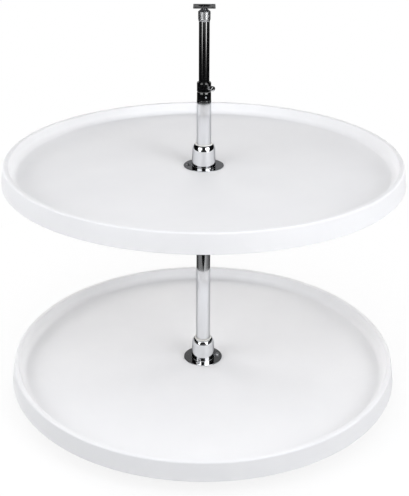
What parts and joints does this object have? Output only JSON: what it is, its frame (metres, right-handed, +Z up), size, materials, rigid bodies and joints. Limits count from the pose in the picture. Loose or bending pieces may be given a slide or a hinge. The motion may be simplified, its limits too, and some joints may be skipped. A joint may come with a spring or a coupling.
{
  "type": "corner cabinet carousel",
  "caption": "Full-round corner cabinet carousel: moulded trays on ball-bearing hubs turn about a telescoping post held between a floor plate and a top plate.",
  "frame": {"origin": "centre of the floor plate's underside, on the post's axis", "axes": "+Z up along the post, -Y towards the viewer of the picture, +X to the viewer's right"},
  "size_m": [0.7109, 0.711, 0.7132],
  "materials": {
    "white_polymer": "moulded, fine satin",
    "chrome": "polished chrome plate",
    "white_nylon": "moulded nylon",
    "zinc_steel": "bright zinc plate",
    "black_oxide": "black oxide",
    "bearing_steel": "ground steel",
    "brass": "stamped brass",
    "black_nylon": "moulded nylon",
    "black_enamel": "gloss black enamel",
    "dark_steel": "dark plated steel"
  },
  "bodies": {
    "base": {"floor_plate": "zinc_steel", "floor_stud": "bearing_steel", "floor_washer": "white_nylon"},
    "post": {"foot_plug": "black_nylon", "lower_tube": "chrome", "lower_support_collar": "zinc_steel", "lower_collar_screw": "black_oxide", "lower_fixed_race": "bearing_steel", "upper_support_collar": "zinc_steel", "upper_collar_screw": "black_oxide", "upper_fixed_race": "bearing_steel", "adjusting_collar": "black_enamel", "collar_pin": "zinc_steel", "screw_bush": "chrome"},
    "lower_tray_unit": {"lower_tray": "white_polymer", "lower_hub": "chrome", "lower_hub_bush": "white_nylon", "lower_hub_screws": "chrome", "lower_hub_nuts": "zinc_steel", "lower_turning_race": "bearing_steel"},
    "upper_tray_unit": {"upper_tray": "white_polymer", "upper_hub": "chrome", "upper_hub_bush": "white_nylon", "upper_hub_screws": "chrome", "upper_hub_nuts": "zinc_steel", "upper_turning_race": "bearing_steel"},
    "lower_bearing": {"lower_ball_cage": "brass", "lower_balls": "bearing_steel"},
    "upper_bearing": {"upper_ball_cage": "brass", "upper_balls": "bearing_steel"},
    "mast": {"upper_tube": "black_enamel", "tube_guide": "white_nylon", "top_cap": "chrome", "top_pin": "bearing_steel"},
    "top_bracket": {"top_plate": "dark_steel"},
    "lock_screw": {"thumb_screw": "chrome"}
  },
  "joints": [
    {"name": "post_turn", "type": "hinge", "parent": "base", "child": "post", "pos_m": [0, 0, 0.0105], "axis": [0, 0, 1], "continuous": true},
    {"name": "lower_tray_spin", "type": "hinge", "parent": "post", "child": "lower_tray_unit", "pos_m": [0, 0, 0.041], "axis": [0, 0, 1], "continuous": true},
    {"name": "upper_tray_spin", "type": "hinge", "parent": "post", "child": "upper_tray_unit", "pos_m": [0, 0, 0.4253], "axis": [0, 0, 1], "continuous": true},
    {"name": "lower_bearing_roll", "type": "hinge", "parent": "post", "child": "lower_bearing", "pos_m": [0, 0, 0.0566], "axis": [0, 0, 1], "continuous": true},
    {"name": "upper_bearing_roll", "type": "hinge", "parent": "post", "child": "upper_bearing", "pos_m": [0, 0, 0.4409], "axis": [0, 0, 1], "continuous": true},
    {"name": "height_adjust", "type": "slide", "parent": "post", "child": "mast", "axis": [0, 0, 1], "range_m": [-0.053, 0.074]},
    {"name": "top_pivot", "type": "hinge", "parent": "mast", "child": "top_bracket", "pos_m": [0, 0, 0.7101], "axis": [0, 0, 1], "continuous": true},
    {"name": "lock_turn", "type": "hinge", "parent": "post", "child": "lock_screw", "pos_m": [0, 0, 0.571], "axis": [0.7254, -0.6884, 0], "range_deg": [0, 540]}
  ],
  "couplings": [
    {"joint": "lower_bearing_roll", "follows": "lower_tray_spin", "ratio": 0.5},
    {"joint": "upper_bearing_roll", "follows": "upper_tray_spin", "ratio": 0.5}
  ]
}
